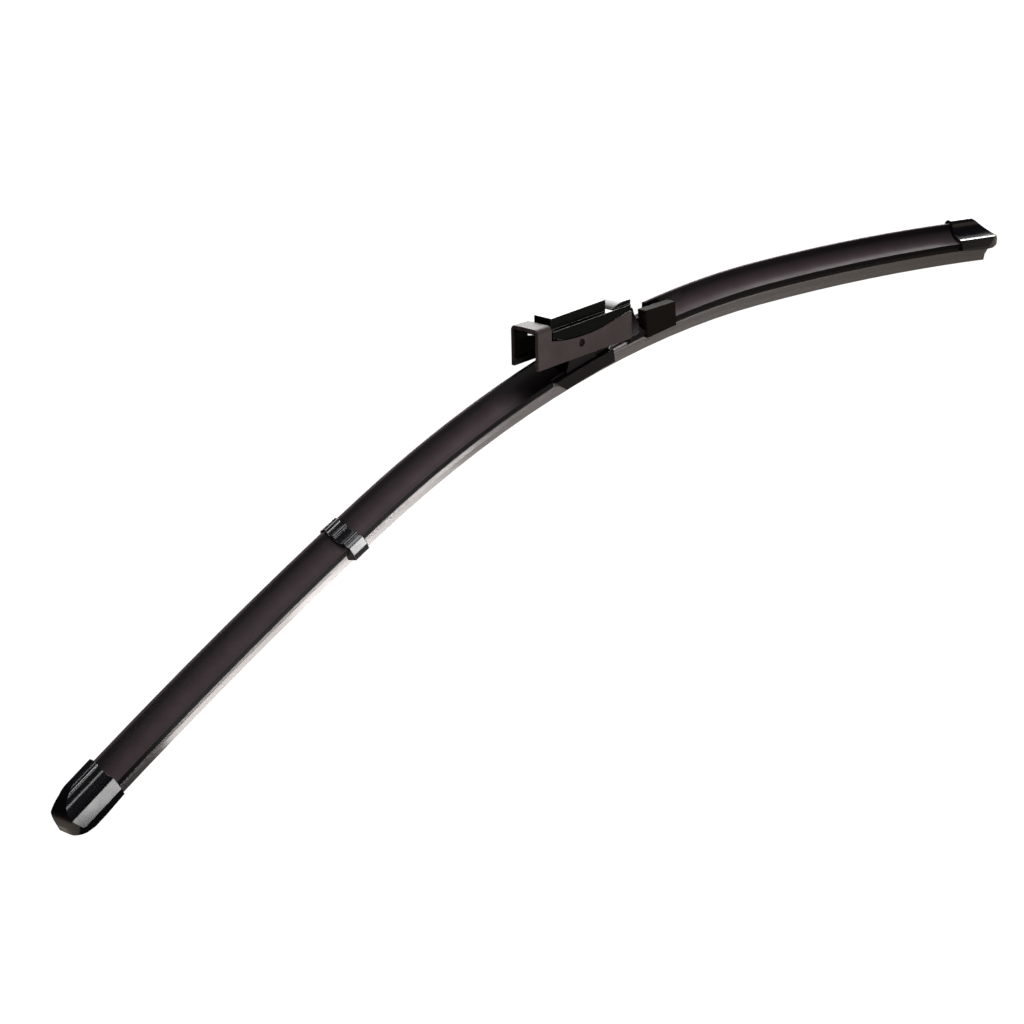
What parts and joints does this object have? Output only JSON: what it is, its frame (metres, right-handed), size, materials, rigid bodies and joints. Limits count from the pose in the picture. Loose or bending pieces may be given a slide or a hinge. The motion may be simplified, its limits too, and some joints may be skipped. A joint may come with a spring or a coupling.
{
  "type": "wiper blade",
  "caption": "Bowed flat wiper blade with spring rails, a rubber lip, spoilers, end caps and a rocking arm adapter with a lock lever.",
  "frame": {"origin": "on the adapter's pivot axis, midway across the blade", "axes": "+X along the blade to its right end, +Y to the rear, the ridge side, and +Z away from the glass"},
  "size_m": [0.6351, 0.0162, 0.1011],
  "materials": {
    "lip_rubber": "satin black wiping rubber with a graphite sheen",
    "spoiler_rubber": "satin near-black extrusion",
    "rail_steel": "bright spring steel",
    "cap_plastic": "glossy black",
    "holder_plastic": "satin dark brown-black",
    "bracket_steel": "black coated steel",
    "rivet_steel": "dulled steel",
    "spacer_plastic": "natural nylon",
    "adapter_plastic": "satin dark brown-grey",
    "lever_plastic": "satin black"
  },
  "bodies": {
    "adapter": {"adapter_body": "adapter_plastic"},
    "lever": {"lock_lever": "lever_plastic"},
    "blade": {"wiper_rubber": "lip_rubber", "front_spring_rail": "rail_steel", "rear_spring_rail": "rail_steel", "left_spoiler": "spoiler_rubber", "right_spoiler": "spoiler_rubber", "left_end_cap": "cap_plastic", "right_end_cap": "cap_plastic", "spoiler_clip": "cap_plastic", "rail_bracket": "bracket_steel", "pivot_rivet": "rivet_steel", "pivot_spacer": "spacer_plastic", "spoiler_holder": "holder_plastic"}
  },
  "joints": [
    {"name": "adapter_pivot", "type": "hinge", "parent": "adapter", "child": "blade", "pos_m": [0, 0, 0], "axis": [0, 1, 0], "range_deg": [-2, 18]},
    {"name": "lever_hinge", "type": "hinge", "parent": "adapter", "child": "lever", "pos_m": [-0.02042, 0, 0.0121], "axis": [0, -1, 0], "range_deg": [0, 25]}
  ]
}
